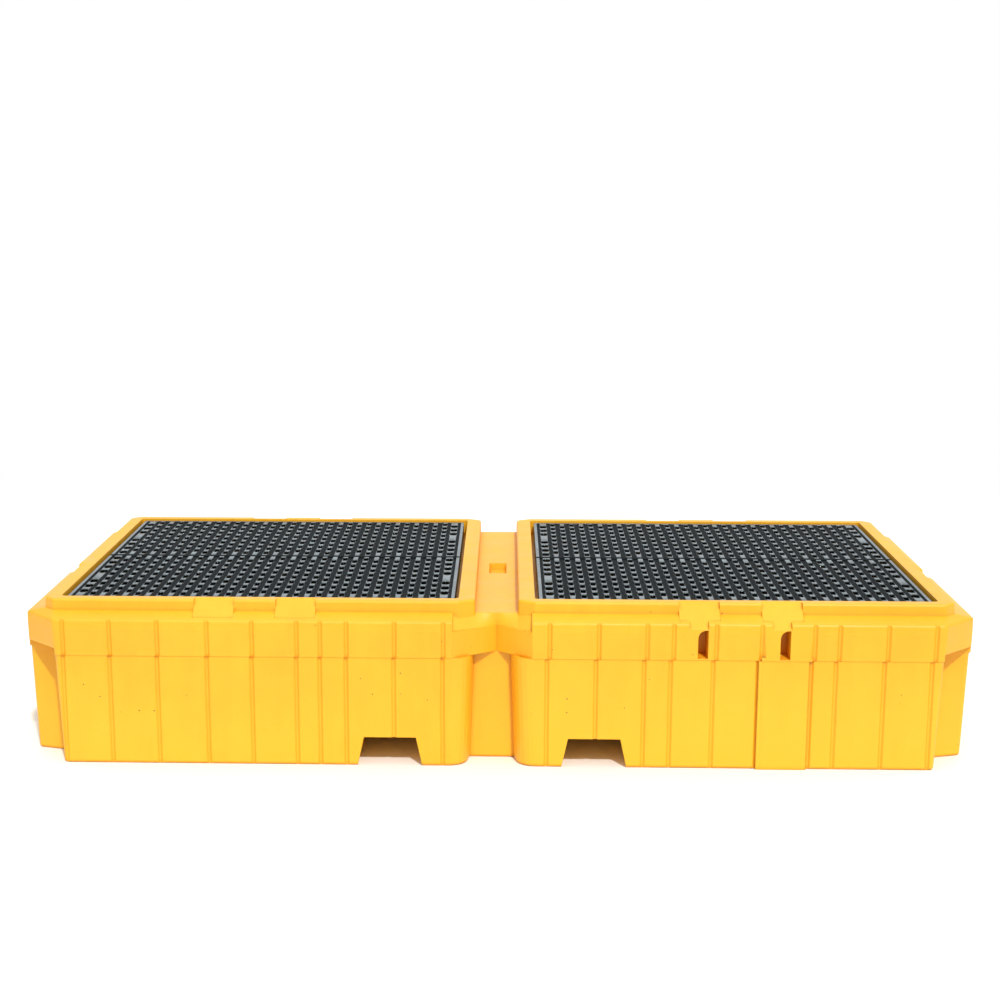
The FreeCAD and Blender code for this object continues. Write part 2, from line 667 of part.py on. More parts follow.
def grate():
    """The right bay's back grate: slotted plate, skirt and deep ribs."""
    length, width = grate_size()
    x0 = BAY_X0 + GRATE_GAP
    y0 = GRATE_SPLIT / 2
    plate_z = GRATE_TOP_Z - GRATE_PLATE
    plan = box(x0, x0 + length, y0, y0 + width, SEAT_Z, GRATE_TOP_Z)
    plan = rounded(plan, GRATE_CORNER, lambda edge: abs(edge.tangentAt(edge.FirstParameter).z) > UPRIGHT)
    plan = rounded(plan, GRATE_EDGE, level_edges(GRATE_TOP_Z))
    hollow = box(x0 + GRATE_WALL, x0 + length - GRATE_WALL, y0 + GRATE_WALL, y0 + width - GRATE_WALL,
                 SEAT_Z - BITE, plate_z)
    body = plan.cut(hollow)
    rib_y0, rib_y1 = y0 + BITE, y0 + width - BITE
    half_rib = RIB_WIDTH / 2
    lines = grate_rib_lines()
    ribs = [box(x - half_rib, x + half_rib, rib_y0, rib_y1, SEAT_Z, plate_z + BITE) for x in lines]
    body = body.fuse(ribs)
    middle = y0 + width / 2
    rows = int((width - 2 * GRATE_MARGIN) / SLOT_PITCH_Y)
    slots = []
    columns = slot_columns()
    for i, x in enumerate(columns):
        at_edge = i in (0, len(columns) - 1)
        slot_width = EDGE_SLOT_WIDTH if at_edge else SLOT_WIDTH
        stagger = SLOT_PITCH_Y / 4 if i % 2 else -SLOT_PITCH_Y / 4
        for j in range(rows):
            y = middle + (j - (rows - 1) / 2) * SLOT_PITCH_Y + stagger
            in_pad = at_edge and abs(y - middle) < PAD_LENGTH / 2
            if not in_pad:
                slot = Part.Face(slot_wire(x, y, plate_z - BITE, slot_width))
                slots.append(slot.extrude(Vector(0, 0, GRATE_PLATE + 2 * BITE)))
    return body.cut(slots)


# ---- support posts ------------------------------------------------------------------------------
def support_post(x, y):
    """Tube that stands over a boss on the sump floor and carries the grate on its head."""
    z = floor_height(x)
    tube = Part.makeCylinder(POST_RADIUS, SEAT_Z - z, Vector(x, y, z))
    foot = Part.makeCone(POST_FLANGE_RADIUS, POST_RADIUS, POST_FOOT, Vector(x, y, z))
    head = Part.makeCylinder(POST_FLANGE_RADIUS, POST_FLANGE, Vector(x, y, SEAT_Z - POST_FLANGE))
    bore = Part.makeCylinder(POST_RADIUS - POST_WALL, SEAT_Z - z - POST_FLANGE, Vector(x, y, z))
    body = tube.fuse([foot, head]).removeSplitter()
    return body.cut(bore)


# ---- output -------------------------------------------------------------------------------------
def save(shape, name):
    solids = shape.Solids
    print(name, "valid", shape.isValid(), "solids", len(solids), "faces", len(shape.Faces),
          "litres", round(shape.Volume / 1e6, 2))
    if len(solids) == 1:
        shape = solids[0]
    shape.exportStep(os.path.join("parts", name + ".step"))


def main():
    os.makedirs("parts", exist_ok=True)
    save(sump_tub(), "sump_tub")
    right_back = grate()
    save(right_back, "grate_right_back")
    save(mirrored_y(right_back), "grate_right_front")
    save(mirrored_x(right_back), "grate_left_back")
    save(mirrored_x(mirrored_y(right_back)), "grate_left_front")
    for (row, number), (x, y) in post_places().items():
        post = support_post(x, y)
        save(post, "support_post_right_%s_%d" % (row, number))
        save(mirrored_x(post), "support_post_left_%s_%d" % (row, number))


main()
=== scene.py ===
import bpy
import bmesh
import math
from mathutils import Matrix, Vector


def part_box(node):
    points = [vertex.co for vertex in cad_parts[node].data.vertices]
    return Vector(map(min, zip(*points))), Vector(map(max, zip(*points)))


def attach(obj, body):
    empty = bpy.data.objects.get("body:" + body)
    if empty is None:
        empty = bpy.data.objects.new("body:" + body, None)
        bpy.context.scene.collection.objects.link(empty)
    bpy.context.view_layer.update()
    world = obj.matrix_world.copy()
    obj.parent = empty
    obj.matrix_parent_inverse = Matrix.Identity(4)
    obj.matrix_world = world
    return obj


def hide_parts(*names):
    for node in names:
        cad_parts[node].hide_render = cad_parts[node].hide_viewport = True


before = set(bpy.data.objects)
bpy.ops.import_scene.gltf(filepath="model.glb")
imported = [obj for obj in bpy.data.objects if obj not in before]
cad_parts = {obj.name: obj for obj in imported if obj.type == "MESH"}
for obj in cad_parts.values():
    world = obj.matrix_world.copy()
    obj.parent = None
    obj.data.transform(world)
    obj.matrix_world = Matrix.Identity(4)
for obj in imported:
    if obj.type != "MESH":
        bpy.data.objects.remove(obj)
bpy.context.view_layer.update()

# Spill containment pallet, in metres and in the CAD's frame: the origin is on the floor under the middle,
# +X runs along the length, -Y faces the front and +Z is up. The tub and its posts are the CAD's own shapes
# with better finishes. The four grates are built here, at the CAD's size, with rounded edges.

MM = 0.001
TINY = 1e-6

TUB = "sump_tub"
GRATES = ["grate_left_front", "grate_left_back", "grate_right_front", "grate_right_back"]
POSTS = [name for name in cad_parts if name.startswith("support_post")]

# ---- sizes of a grate ---------------------------------------------------------------------------
# A slotted plate with an outer wall, a raised border, and ribs below. The slots lie in columns along Y.
# A raised tread fills the land between one slot of a column and the next.
SLOT_PITCH_X = 38.1 * MM
SLOT_PITCH_Y = 76.2 * MM
SLOT_LENGTH = 51.0 * MM
SLOT_WIDTH = 17.0 * MM
EDGE_SLOT_WIDTH = 26.0 * MM  # in the first and the last column
PAD_LENGTH = 70.0 * MM       # solid stretch halfway along those two columns
GRATE_MARGIN = 17.0 * MM     # from the grate's edge to its slots, at least
GRATE_PLATE = 12.0 * MM      # from the treads' tops to the plate's underside
GRATE_WALL = 9.0 * MM        # thickness of the outer wall
GRATE_CORNER = 8.0 * MM      # radius of the outer wall's corners
BORDER = 12.0 * MM           # width of the raised border
TREAD = 3.0 * MM             # treads and border stand this far above the bars
TREAD_OVERLAP = 0.6 * MM     # a tread is this much wider than its slots, each side
RIB_WIDTH = 8.0 * MM
RIB_EVERY = 3                # columns from one rib to the next
LIP = 2.0 * MM               # rounding of the outer, the slots' and the treads' top edges
SMALL_LIP = 1.0 * MM         # rounding of the border's inner edge, and cut on the lower edges
LEAST_RADIUS = 0.5 * MM      # of the corners on the wall's inner side
SUNK = 2.0 * MM              # joined pieces reach this far into each other
LIP_STEPS = 3                # faces across a rounded edge
ARC_STEPS = 5                # faces round a quarter of a circle
SHARP_TURN = math.radians(40)  # faces that turn by more than this meet at a sharp edge

# Finishes of a grate's faces, in the order of its materials.
POLISHED = 0
GRAINED = 1

# ---- colours (linear) and light -----------------------------------------------------------------
WHITE = (1.0, 1.0, 1.0, 1.0)
DEEP_YELLOW = (0.86, 0.400, 0.008, 1.0)
LIGHT_YELLOW = (0.93, 0.480, 0.018, 1.0)
GRAIN_YELLOW = (1.0, 0.60, 0.07, 1.0)
SCUFF_YELLOW = (1.0, 0.66, 0.16, 1.0)
# painted shade: the colour that grooves and inside corners deepen to
PAINTED_SHADE_ORANGE = (0.80, 0.31, 0.004, 1.0)
SMUDGE_BROWN = (0.40, 0.27, 0.06, 1.0)
DIRT_BROWN = (0.10, 0.06, 0.015, 1.0)
NICK_BROWN = (0.12, 0.06, 0.01, 1.0)
FLOOR_WHITE = (0.92, 0.92, 0.91, 1.0)
SKY_BLUE = (0.93, 0.97, 1.0, 1.0)
SUN_WHITE = (1.0, 0.975, 0.94)

FLOOR_RADIUS = 60.0
FLOOR_SIDES = 96
FLOOR_FADE = (2.6, 6.0)      # between these distances the floor turns into the backdrop's white
SIDE_SKY = 0.34              # strength of the sky's light from level
TOP_SKY = 1.12               # and from overhead
BACK_SKY = 0.9               # added low down behind the object, for a sheen on its tops
SUN_STRENGTH = 2.4
SUN_SIZE = math.radians(2.5)
SUN_ELEVATION = math.radians(46)
SUN_AZIMUTH = math.radians(15)  # to the right, seen from the front

# ---- camera -------------------------------------------------------------------------------------
CAMERA_PLACE = (0.0302, -6.5686, 1.9319)
CAMERA_DOWN = 0.1724         # radians below level
CAMERA_LEFT = 0.0306         # radians to the left of +Y
CAMERA_SHIFT = (0.0486, -0.0079)
SENSOR_MM = 36.0
LENS_MM = 65.7612
SIGHT = 200.0                # nothing further off is drawn


# ---- node graphs --------------------------------------------------------------------------------
class Graph:
    """A material's or the world's node tree, built by short calls."""

    def __init__(self, owner):
        owner.use_nodes = True
        self.tree = owner.node_tree
        self.tree.nodes.clear()

    def add(self, kind, settings=None, **inputs):
        """Adds a node and fills its inputs, each with a plain value or with a socket to link to.

        An input goes by its name, with _ for a space, or by its number, as i0.
        """
        node = self.tree.nodes.new("ShaderNode" + kind)
        for name, value in (settings or {}).items():
            setattr(node, name, value)
        for name, value in inputs.items():
            numbered = name[0] == "i" and name[1:].isdigit()
            socket = node.inputs[int(name[1:])] if numbered else node.inputs[name.replace("_", " ")]
            if isinstance(value, bpy.types.NodeSocket):
                self.tree.links.new(value, socket)
            else:
                socket.default_value = value
        return node

    def math(self, operation, a, b, c=0.0):
        return self.add("Math", {"operation": operation}, i0=a, i1=b, i2=c).outputs[0]

    def plus(self, total, value, weight):
        """A total and a weighted value, added."""
        return self.math("ADD", total, self.math("MULTIPLY", value, weight))

    def noise(self, place, scale, detail, roughness):
        node = self.add("TexNoise", Vector=place, Scale=scale, Detail=detail, Roughness=roughness)
        return node.outputs[0]

    def stretch(self, place, x, y, z):
        """Coordinates multiplied by x, y and z: a pattern gets finer along an axis with a large factor."""
        return self.add("Mapping", Vector=place, Scale=(x, y, z)).outputs[0]

    def remap(self, value, between, gives=(0.0, 1.0)):
        """Smooth step from gives[0] to gives[1] as the value goes from between[0] to between[1].

        Either end of between may be the larger one.
        """
        node = self.add("MapRange", {"interpolation_type": "SMOOTHSTEP"}, Value=value, From_Min=between[0],
                        From_Max=between[1], To_Min=gives[0], To_Max=gives[1])
        return node.outputs[0]

    def mix(self, factor, a, b):
        """Colour a where the factor is 0, and colour b where it is 1."""
        return self.add("Mix", {"data_type": "RGBA"}, i0=factor, i6=a, i7=b).outputs[2]

    def bump(self, height, strength, distance, normal=None):
        """Normal bent by a height pattern, on top of an earlier normal if there is one."""
        node = self.add("Bump", Height=height, Strength=strength, Distance=distance)
        if normal is not None:
            self.tree.links.new(normal, node.inputs["Normal"])
        return node.outputs[0]

    def plastic(self, colour, rough, specular, normal):
        """Ends a material's graph with a plastic shader. specular is how strongly it reflects."""
        shader = self.add("BsdfPrincipled", Base_Color=colour, Roughness=rough, Specular_IOR_Level=specular,
                          Normal=normal)
        self.add("OutputMaterial", Surface=shader.outputs[0])


# ---- yellow polyethylene ------------------------------------------------------------------------
def yellow_tone(graph, place, height, mottle):
    """Base colour: slow changes of tone, faint upright streaks, painted floor light low down, fine grain."""
    slow = graph.noise(place, scale=1.6, detail=3.0, roughness=0.55)
    streaks = graph.noise(graph.stretch(place, 9.0, 9.0, 0.7), scale=3.0, detail=3.0, roughness=0.6)
    grain = graph.noise(place, scale=420.0, detail=2.0, roughness=0.6)
    # painted light: the floor's bounce, as a lighter tone towards the floor
    painted_floor_light = graph.remap(height, between=(0.42, 0.0), gives=(0.0, 0.22))

    tone = graph.math("MULTIPLY", slow, 0.55)
    tone = graph.plus(tone, mottle, weight=0.30)
    tone = graph.plus(tone, streaks, weight=0.25)
    tone = graph.math("ADD", tone, painted_floor_light)
    colour = graph.mix(graph.remap(tone, between=(0.38, 0.86)), DEEP_YELLOW, LIGHT_YELLOW)
    return graph.mix(graph.remap(grain, between=(0.30, 0.75), gives=(0.0, 0.16)), colour, GRAIN_YELLOW)


def smudges(graph, place, height):
    """How much grime there is: patches on the lower part of the walls."""
    patches = graph.noise(graph.stretch(place, 1.0, 1.0, 0.45), scale=5.5, detail=5.0, roughness=0.62)
    patches = graph.remap(patches, between=(0.62, 0.80), gives=(0.0, 0.30))
    return graph.math("MULTIPLY", patches, graph.remap(height, between=(0.34, 0.10)))


def scuffs(graph, place):
    """How much is rubbed: thin pale lines along the walls."""
    lines = graph.noise(graph.stretch(place, 3.0, 34.0, 60.0), scale=4.0, detail=4.0, roughness=0.7)
    return graph.remap(lines, between=(0.66, 0.74), gives=(0.0, 0.16))


def painted_crease_shade(graph):
    """How much painted shade a place gets: most in grooves and inside corners, where the colour deepens."""
    open_sky = graph.add("AmbientOcclusion", {"samples": 8}, Distance=16 * MM).outputs["AO"]
    return graph.remap(open_sky, between=(0.97, 0.55), gives=(0.0, 0.65))


def specks(graph, place, scale, size, share, strength):
    """The strength inside small round dots, and 0 elsewhere.

    A share of a Voronoi pattern's cells has one dot each.
    """
    smallest = 0.3  # as a part of the largest dot's size
    cells = graph.add("TexVoronoi", Vector=place, Scale=scale)
    pick = graph.add("SeparateColor", Color=cells.outputs["Color"])
    chosen = graph.math("LESS_THAN", pick.outputs[0], share)
    reach = graph.math("MULTIPLY_ADD", pick.outputs[1], size * (1 - smallest), size * smallest)
    inside = graph.math("LESS_THAN", cells.outputs["Distance"], reach)
    return graph.math("MULTIPLY", graph.math("MULTIPLY", chosen, inside), strength)


def dirt(graph, place):
    """How dirty a place is: sparse dark specks of two sizes."""
    large = specks(graph, place, scale=22.0, size=0.065, share=0.20, strength=0.75)
    small = specks(graph, place, scale=60.0, size=0.075, share=0.05, strength=0.55)
    return graph.math("MAXIMUM", large, small)


def nicks(graph, place):
    """How much is nicked: a few short dark marks."""
    marks = graph.noise(graph.stretch(place, 26.0, 6.0, 9.0), scale=4.0, detail=2.0, roughness=0.5)
    return graph.remap(marks, between=(0.792, 0.802), gives=(0.0, 0.8))


def rotomoulded_normal(graph, place):
    """Slightly sagging walls with a ripple and orange peel, and softly rounded edges."""
    sag = graph.noise(graph.stretch(place, 1.0, 1.0, 0.6), scale=4.5, detail=2.0, roughness=0.5)
    ripple = graph.noise(place, scale=26.0, detail=2.0, roughness=0.5)
    peel = graph.noise(place, scale=300.0, detail=3.0, roughness=0.6)
    normal = graph.add("Bevel", {"samples": 4}, Radius=4 * MM).outputs[0]
    normal = graph.bump(sag, strength=0.55, distance=6 * MM, normal=normal)
    normal = graph.bump(ripple, strength=0.30, distance=1.2 * MM, normal=normal)
    return graph.bump(peel, strength=0.32, distance=0.4 * MM, normal=normal)


def yellow_polyethylene():
    """Satin rotomoulded skin with light wear and dirt, painted shade in grooves, painted floor light low
    down.
    """
    material = bpy.data.materials.new("rotomoulded_yellow")
    graph = Graph(material)
    place = graph.add("TexCoord").outputs["Object"]
    height = graph.add("SeparateXYZ", Vector=place).outputs[2]
    mottle = graph.noise(place, scale=11.0, detail=4.0, roughness=0.6)
    smudge = smudges(graph, place, height)

    colour = yellow_tone(graph, place, height, mottle)
    colour = graph.mix(smudge, colour, SMUDGE_BROWN)
    colour = graph.mix(scuffs(graph, place), colour, SCUFF_YELLOW)
    # painted shade in grooves and inside corners
    colour = graph.mix(painted_crease_shade(graph), colour, PAINTED_SHADE_ORANGE)
    colour = graph.mix(dirt(graph, place), colour, DIRT_BROWN)
    colour = graph.mix(nicks(graph, place), colour, NICK_BROWN)

    rough = graph.remap(mottle, between=(0.25, 0.75), gives=(0.40, 0.52))
    rough = graph.plus(rough, smudge, weight=0.4)
    graph.plastic(colour, rough, specular=0.42, normal=rotomoulded_normal(graph, place))
    return material


# ---- black polyethylene -------------------------------------------------------------------------
def black_polyethylene(name, dark, pale, roughness, specular):
    """Moulded black plastic: pebbled grain, rubbed streaks, and on upward faces pale dusting and painted sky
    sheen.

    The bare plastic is dark; rubs, dusting and painted sheen are pale. roughness is the lowest and the
    highest value.
    """
    material = bpy.data.materials.new(name)
    graph = Graph(material)
    place = graph.add("TexCoord").outputs["Object"]
    up = graph.add("SeparateXYZ", Vector=graph.add("NewGeometry").outputs["Normal"]).outputs[2]
    blotch = graph.noise(place, scale=7.0, detail=4.0, roughness=0.6)
    fine = graph.noise(place, scale=160.0, detail=3.0, roughness=0.65)
    streaks = graph.noise(graph.stretch(place, 5.0, 40.0, 5.0), scale=6.0, detail=3.0, roughness=0.6)
    wave = graph.noise(place, scale=40.0, detail=2.0, roughness=0.5)
    pebble = graph.noise(place, scale=520.0, detail=2.0, roughness=0.6)

    # faces that look up are made pale: a dusting and a painted sky sheen
    facing = graph.remap(up, between=(0.4, 1.0))
    dust_and_sky_sheen = graph.math("MULTIPLY", facing, graph.remap(blotch, between=(0.35, 0.72), gives=(0.12, 0.75)))
    dust_and_sky_sheen = graph.math("MULTIPLY", dust_and_sky_sheen, graph.remap(fine, between=(0.3, 0.7), gives=(0.55, 1.0)))
    colour = graph.mix(dust_and_sky_sheen, dark, pale)
    colour = graph.mix(graph.remap(streaks, between=(0.60, 0.72), gives=(0.0, 0.35)), colour, pale)

    rough = graph.remap(fine, between=(0.25, 0.75), gives=roughness)
    normal = graph.bump(wave, strength=0.35, distance=1.0 * MM)
    normal = graph.bump(pebble, strength=0.35, distance=0.3 * MM, normal=normal)
    graph.plastic(colour, rough, specular, normal)
    return material


# ---- meshes -------------------------------------------------------------------------------------
class Shell:
    """Collects points and faces for one mesh, and welds points that fall together."""

    def __init__(self):
        self.points = []
        self.known = {}
        self.faces = []
        self.finishes = []

    def point(self, x, y, z):
        """Number of a point, which is the same for points that fall together."""
        key = (round(x, 6), round(y, 6), round(z, 6))
        if key not in self.known:
            self.known[key] = len(self.points)
            self.points.append((x, y, z))
        return self.known[key]

    def face(self, corners, finish=POLISHED):
        """Adds a face, unless fewer than three of its corners are apart."""
        indices = []
        for corner in corners:
            index = self.point(*corner)
            if index not in indices:
                indices.append(index)
        if len(indices) > 2:
            self.faces.append(indices)
            self.finishes.append(finish)

    def strip(self, low, high):
        """Faces between two closed rings of points."""
        for i in range(len(low)):
            j = (i + 1) % len(low)
            self.face([low[i], low[j], high[j], high[i]])

    def loft(self, rings):
        """Closed solid through a pile of rings."""
        for low, high in zip(rings, rings[1:]):
            self.strip(low, high)
        self.face(rings[0])
        self.face(rings[-1])

    def object(self, name, materials):
        """Makes the object, shaded smooth except across sharp edges."""
        data = bpy.data.meshes.new(name)
        data.from_pydata(self.points, [], self.faces)
        for material in materials:
            data.materials.append(material)
        for polygon, finish in zip(data.polygons, self.finishes):
            polygon.material_index = finish
            polygon.use_smooth = True
        mesh = bmesh.new()
        mesh.from_mesh(data)
        bmesh.ops.recalc_face_normals(mesh, faces=mesh.faces)
        mesh.to_mesh(data)
        mesh.free()
        data.set_sharp_from_angle(angle=SHARP_TURN)
        made = bpy.data.objects.new(name, data)
        bpy.context.scene.collection.objects.link(made)
        return made


# ---- grates -------------------------------------------------------------------------------------
class GratePlan:
    """Where one grate's levels, columns of slots and edges lie, worked out from its CAD box."""

    def __init__(self, node):
        self.low, self.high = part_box(node)
        self.bars_z = self.high.z - TREAD
        self.under_z = self.high.z - GRATE_PLATE
        self.middle_x = (self.low.x + self.high.x) / 2
        self.middle_y = (self.low.y + self.high.y) / 2
        self.outward = 1 if self.middle_x > 0 else -1
        self.back = 1 if self.middle_y > 0 else -1
        self.split_y = self.low.y if self.back > 0 else self.high.y  # the bay's other grate begins here

        # the plate's edges, hidden inside the outer wall
        hidden = GRATE_WALL - SUNK
        self.x0 = self.low.x + hidden
        self.x1 = self.high.x - hidden
        self.y0 = self.low.y + hidden
        self.y1 = self.high.y - hidden

        # columns of slots, from the inner one to the outer one
        length = self.high.x - self.low.x
        count = int((length - 2 * GRATE_MARGIN - EDGE_SLOT_WIDTH) / SLOT_PITCH_X + TINY) + 1
        middle = (count - 1) / 2
        self.columns = [self.middle_x + (i - middle) * SLOT_PITCH_X for i in range(count)]
        if self.outward < 0:
            self.columns.reverse()
        self.rows = int((self.high.y - self.low.y - 2 * GRATE_MARGIN) / SLOT_PITCH_Y + TINY)

    def is_edge(self, column):
        return column in (0, len(self.columns) - 1)

    def cell_centres(self, column):
        """Middles of a column's cells. Neighbouring columns are half a pitch apart along Y."""
        stagger = self.back * SLOT_PITCH_Y / 4
        if column % 2 == 0:
            stagger = -stagger
        middle = (self.rows - 1) / 2
        return [self.middle_y + (i - middle) * SLOT_PITCH_Y + stagger for i in range(self.rows)]

    def lines_between(self, low_y, high_y):
        """Two places along Y and the quarter-pitch lines between them, where cells' corners can fall."""
        reach = 2 * self.rows + 4
        lines = [self.middle_y + i * SLOT_PITCH_Y / 4 for i in range(-reach, reach + 1)]
        return [low_y] + [y for y in lines if low_y + TINY < y < high_y - TINY] + [high_y]


def rounded_edge(radius, top_z):
    """Setback and height of the rings of a rounded top edge, from its foot to the top face."""
    turns = [math.pi / 2 * i / LIP_STEPS for i in range(LIP_STEPS + 1)]
    return [(radius * (1 - math.cos(turn)), top_z - radius * (1 - math.sin(turn))) for turn in turns]


def quarter_slot(width, grow):
    """Points from the middle of a slot's side to its end, where x and y are positive."""
    radius = width / 2 + grow
    straight = (SLOT_LENGTH - width) / 2
    turns = [math.pi / 2 * i / ARC_STEPS for i in range(ARC_STEPS + 1)]
    return [(radius, 0.0)] + [(radius * math.cos(turn), straight + radius * math.sin(turn)) for turn in turns]


def slot_ring(x, y, z, width, grow):
    """A slot's whole outline round x, y, grown outward."""
    quarter = quarter_slot(width, grow)
    ring = quarter + [(-px, py) for px, py in reversed(quarter[:-1])]
    ring += [(-px, -py) for px, py in quarter[1:]]
    ring += [(px, -py) for px, py in reversed(quarter[1:-1])]
    return [(x + px, y + py, z) for px, py in ring]


def slotted_cell(shell, plan, x, y, width):
    """One slot and the flat land round it, in four quarters above and four below."""
    rings = [slot_ring(x, y, z, width, grow) for grow, z in reversed(rounded_edge(LIP, plan.bars_z))]
    rings.append(slot_ring(x, y, plan.under_z, width, 0.0))
    for upper, lower in zip(rings, rings[1:]):
        shell.strip(lower, upper)
    half_x = SLOT_PITCH_X / 2
    half_y = SLOT_PITCH_Y / 2
    outer = [(0.0, half_y), (half_x, half_y), (half_x, half_y / 2), (half_x, 0.0)]
    for z, grow in ((plan.bars_z, LIP), (plan.under_z, 0.0)):
        quarter = quarter_slot(width, grow) + outer
        for sign_x in (1, -1):
            for sign_y in (1, -1):
                shell.face([(x + sign_x * px, y + sign_y * py, z) for px, py in quarter], GRAINED)


def plain_cell(shell, plan, x, low_y, high_y):
    """Solid land with no slot, above and below."""
    half_x = SLOT_PITCH_X / 2
    ys = plan.lines_between(low_y, high_y)
    for z in (plan.bars_z, plan.under_z):
        right = [(x + half_x, y, z) for y in ys]
        left = [(x - half_x, y, z) for y in reversed(ys)]
        shell.face(right + [(x, high_y, z)] + left + [(x, low_y, z)], GRAINED)


def tread(shell, plan, x, width, low_end, high_end):
    """Raised bridge between two slots, with rounded edges.

    An end is its place along Y and whether it follows the slot's round end there.
    """
    radius = width / 2
    rings = []
    for setback, z in [(0.0, plan.bars_z - SUNK)] + rounded_edge(LIP, plan.high.z):
        side = radius + TREAD_OVERLAP - setback
        reach = radius + setback
        start = math.acos(min(side, reach) / reach)
        turns = [start + (math.pi - 2 * start) * i / (2 * ARC_STEPS) for i in range(2 * ARC_STEPS + 1)]
        ring = []
        for (y, is_round), inward in ((low_end, 1), (high_end, -1)):
            if is_round:
                end = [(reach * math.cos(turn), y + inward * reach * math.sin(turn)) for turn in turns]
                end[0] = (side, end[0][1])
                end[-1] = (-side, end[-1][1])
            else:
                end = [(side * math.cos(turn) / math.cos(start), y + inward * setback) for turn in turns]
            if inward > 0:
                end.reverse()
            ring += [(x + px, py, z) for px, py in end]
        rings.append(ring)
    shell.loft(rings)


def column_treads(shell, plan, x, width, slots):
    """Treads between a column's slots, and from its end slots into the border."""
    straight = (SLOT_LENGTH - width) / 2
    ends = [(plan.low.y + BORDER - SUNK, False)]
    for y in slots:
        ends += [(y - straight, True), (y + straight, True)]
    ends.append((plan.high.y - BORDER + SUNK, False))
    for low_end, high_end in zip(ends[::2], ends[1::2]):
        tread(shell, plan, x, width, low_end, high_end)


def slot_columns(shell, plan):
    """Cells and treads of every column. The pads in the first and last column have no slot."""
    half_y = SLOT_PITCH_Y / 2
    for i, x in enumerate(plan.columns):
        width = EDGE_SLOT_WIDTH if plan.is_edge(i) else SLOT_WIDTH
        centres = plan.cell_centres(i)
        slots = [y for y in centres if not (plan.is_edge(i) and abs(y - plan.middle_y) < PAD_LENGTH / 2)]
        plain_cell(shell, plan, x, plan.y0, centres[0] - half_y)
        plain_cell(shell, plan, x, centres[-1] + half_y, plan.y1)
        for y in centres:
            if y in slots:
                slotted_cell(shell, plan, x, y, width)
            else:
                plain_cell(shell, plan, x, y - half_y, y + half_y)
        column_treads(shell, plan, x, width, slots)


def plate_edges(shell, plan):
    """The plate's land past the first and last column, and its edge inside the outer wall."""
    half_x = SLOT_PITCH_X / 2
    left_x = min(plan.columns) - half_x
    right_x = max(plan.columns) + half_x
    ys = plan.lines_between(plan.y0, plan.y1)
    xs = [plan.x0] + [left_x + half_x * i for i in range(2 * len(plan.columns) + 1)] + [plan.x1]
    edges = []
    for z in (plan.bars_z, plan.under_z):
        left = [(left_x, y, z) for y in ys]
        right = [(right_x, y, z) for y in reversed(ys)]
        shell.face([(plan.x0, plan.y0, z)] + left + [(plan.x0, plan.y1, z)], GRAINED)
        shell.face([(plan.x1, plan.y1, z)] + right + [(plan.x1, plan.y0, z)], GRAINED)
        edges.append([(x, plan.y0, z) for x in xs] + [(x, plan.y1, z) for x in reversed(xs)])
    upper, lower = edges
    shell.strip(lower, upper)


def ribs(shell, plan):
    """Ribs along Y under the plate, with their lower edges cut back."""
    y0 = plan.low.y + SUNK
    y1 = plan.high.y - SUNK
    foot_z = plan.low.z
    for column in plan.columns[1:-1:RIB_EVERY]:
        x = column + plan.outward * SLOT_PITCH_X / 2
        rings = []
        for cut, z in ((SMALL_LIP, foot_z), (0.0, foot_z + SMALL_LIP), (0.0, plan.under_z + SUNK)):
            x0 = x - RIB_WIDTH / 2 + cut
            x1 = x + RIB_WIDTH / 2 - cut
            rings.append([(x0, y0, z), (x1, y0, z), (x1, y1, z), (x0, y1, z)])
        shell.loft(rings)


def inset_outline(plan, z, inset):
    """Ring of points at one height, this far inside the grate's rounded outline."""
    radius = max(GRATE_CORNER - inset, LEAST_RADIUS)
    low, high = plan.low, plan.high
    corners = ((high.x, high.y), (low.x, high.y), (low.x, low.y), (high.x, low.y))
    ring = []
    for quarter, (corner_x, corner_y) in enumerate(corners):
        centre_x = corner_x - math.copysign(inset + radius, corner_x - plan.middle_x)
        centre_y = corner_y - math.copysign(inset + radius, corner_y - plan.middle_y)
        for i in range(ARC_STEPS + 1):
            turn = math.pi / 2 * (quarter + i / ARC_STEPS)
            ring.append((centre_x + radius * math.cos(turn), centre_y + radius * math.sin(turn), z))
    return ring


def outer_wall(shell, plan):
    """Outer wall and raised border, as one closed ring. Beside the bay's other grate it is grained."""
    foot_z = plan.low.z
    joint_z = plan.bars_z - SUNK
    profile = [(SMALL_LIP, foot_z), (0.0, foot_z + SMALL_LIP)] + rounded_edge(LIP, plan.high.z)
    profile += [(BORDER - setback, z) for setback, z in reversed(rounded_edge(SMALL_LIP, plan.high.z))]
    profile += [(BORDER, joint_z), (GRATE_WALL, joint_z)]
    profile += [(GRATE_WALL, foot_z + SMALL_LIP), (GRATE_WALL - SMALL_LIP, foot_z)]
    rings = [inset_outline(plan, z, inset) for inset, z in profile]
    for inner, outer in zip(rings, rings[1:] + rings[:1]):
        for i in range(len(inner)):
            j = (i + 1) % len(inner)
            corners = [inner[i], inner[j], outer[j], outer[i]]
            beside = all(abs(y - plan.split_y) < BORDER + TINY for _, y, _ in corners)
            shell.face(corners, GRAINED if beside else POLISHED)


def build_grate(node, materials):
    plan = GratePlan(node)
    shell = Shell()
    outer_wall(shell, plan)
    slot_columns(shell, plan)
    plate_edges(shell, plan)
    ribs(shell, plan)
    return shell.object(node + "_moulding", materials)


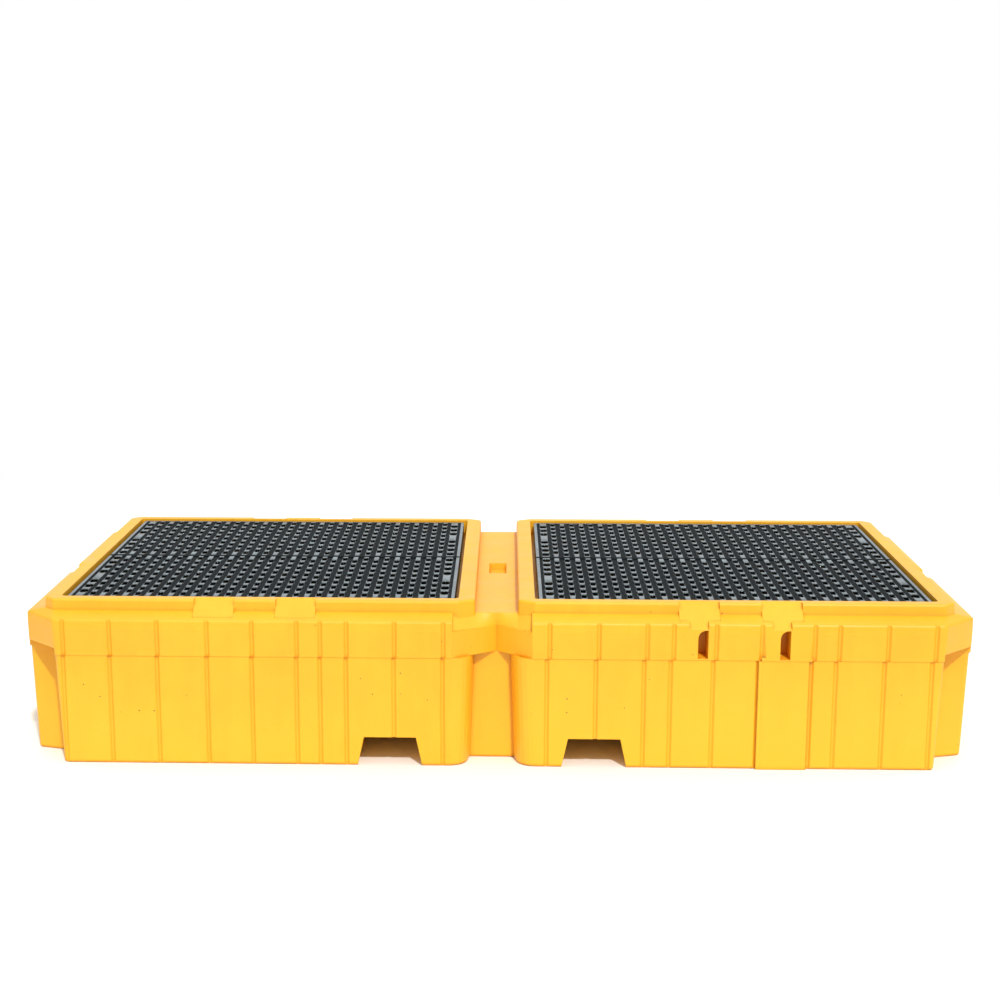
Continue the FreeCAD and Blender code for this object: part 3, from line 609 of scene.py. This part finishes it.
# ---- floor, light and camera --------------------------------------------------------------------
def pale_floor():
    """Off-white near the object, fading to the backdrop's white far from it."""
    material = bpy.data.materials.new("pale_floor")
    graph = Graph(material)
    place = graph.add("TexCoord").outputs["Object"]
    distance = graph.add("VectorMath", {"operation": "LENGTH"}, i0=place).outputs[1]
    near = graph.add("BsdfDiffuse", Color=FLOOR_WHITE).outputs[0]
    far = graph.add("Emission", Color=WHITE, Strength=1.0).outputs[0]
    surface = graph.add("MixShader", i0=graph.remap(distance, FLOOR_FADE), i1=near, i2=far).outputs[0]
    graph.add("OutputMaterial", Surface=surface)
    return material


def build_floor():
    mesh = bmesh.new()
    bmesh.ops.create_circle(mesh, cap_ends=True, segments=FLOOR_SIDES, radius=FLOOR_RADIUS)
    data = bpy.data.meshes.new("floor")
    mesh.to_mesh(data)
    mesh.free()
    data.materials.append(pale_floor())
    floor = bpy.data.objects.new("floor", data)
    bpy.context.scene.collection.objects.link(floor)
    return floor


def build_sky():
    """White to the camera. As a light it is soft, strongest from overhead and from low down behind."""
    world = bpy.data.worlds.new("studio")
    bpy.context.scene.world = world
    sky = Graph(world)
    seen = sky.add("Background", Color=WHITE, Strength=1.0).outputs[0]
    direction = sky.add("SeparateXYZ", Vector=sky.add("TexCoord").outputs["Generated"])
    backward, upward = direction.outputs[1], direction.outputs[2]
    overhead = sky.remap(upward, between=(0.15, 0.95), gives=(SIDE_SKY, TOP_SKY))
    behind = sky.remap(backward, between=(0.35, 0.85))
    low_behind = sky.math("MULTIPLY", behind, sky.remap(upward, between=(0.62, 0.20)))
    strength = sky.math("MULTIPLY_ADD", low_behind, BACK_SKY, overhead)
    lit = sky.add("Background", Color=SKY_BLUE, Strength=strength).outputs[0]
    is_camera = sky.add("LightPath").outputs["Is Camera Ray"]
    surface = sky.add("MixShader", i0=is_camera, i1=lit, i2=seen).outputs[0]
    sky.add("OutputWorld", Surface=surface)


def build_sun():
    light = bpy.data.lights.new("key", "SUN")
    light.energy = SUN_STRENGTH
    light.angle = SUN_SIZE
    light.color = SUN_WHITE
    sun = bpy.data.objects.new("key", light)
    sun.rotation_euler = (math.pi / 2 - SUN_ELEVATION, 0.0, SUN_AZIMUTH)
    bpy.context.scene.collection.objects.link(sun)


def build_camera():
    data = bpy.data.cameras.new("camera")
    data.sensor_width = SENSOR_MM
    data.lens = LENS_MM
    data.shift_x, data.shift_y = CAMERA_SHIFT
    data.clip_end = SIGHT
    camera = bpy.data.objects.new("camera", data)
    camera.location = CAMERA_PLACE
    camera.rotation_euler = (math.pi / 2 - CAMERA_DOWN, 0.0, CAMERA_LEFT)
    bpy.context.scene.collection.objects.link(camera)
    bpy.context.scene.camera = camera


# ---- the object ---------------------------------------------------------------------------------
def paint(node, material):
    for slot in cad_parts[node].material_slots:
        slot.material = material


yellow = yellow_polyethylene()
# the pale colour is bluish: a dusting and a painted sky reflection on the tops
black = black_polyethylene("moulded_black", dark=(0.018, 0.028, 0.031, 1.0),
                           pale=(0.115, 0.165, 0.18, 1.0), roughness=(0.20, 0.34), specular=0.8)
grained = black_polyethylene("grained_black", dark=(0.002, 0.0035, 0.004, 1.0),
                             pale=(0.007, 0.010, 0.011, 1.0), roughness=(0.6, 0.8), specular=0.08)
post_black = black_polyethylene("extruded_black", dark=(0.012, 0.013, 0.014, 1.0),
                                pale=(0.040, 0.042, 0.044, 1.0), roughness=(0.4, 0.6), specular=0.5)

paint(TUB, yellow)
for node in POSTS:
    paint(node, post_black)

for node in GRATES:
    piece = build_grate(node, [black, grained])
    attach(piece, node)
    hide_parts(node)

# ---- the scene ----------------------------------------------------------------------------------
floor = build_floor()
build_sky()
build_sun()
build_camera()
bpy.context.scene.view_settings.view_transform = "Standard"

bpy.context.view_layer.update()
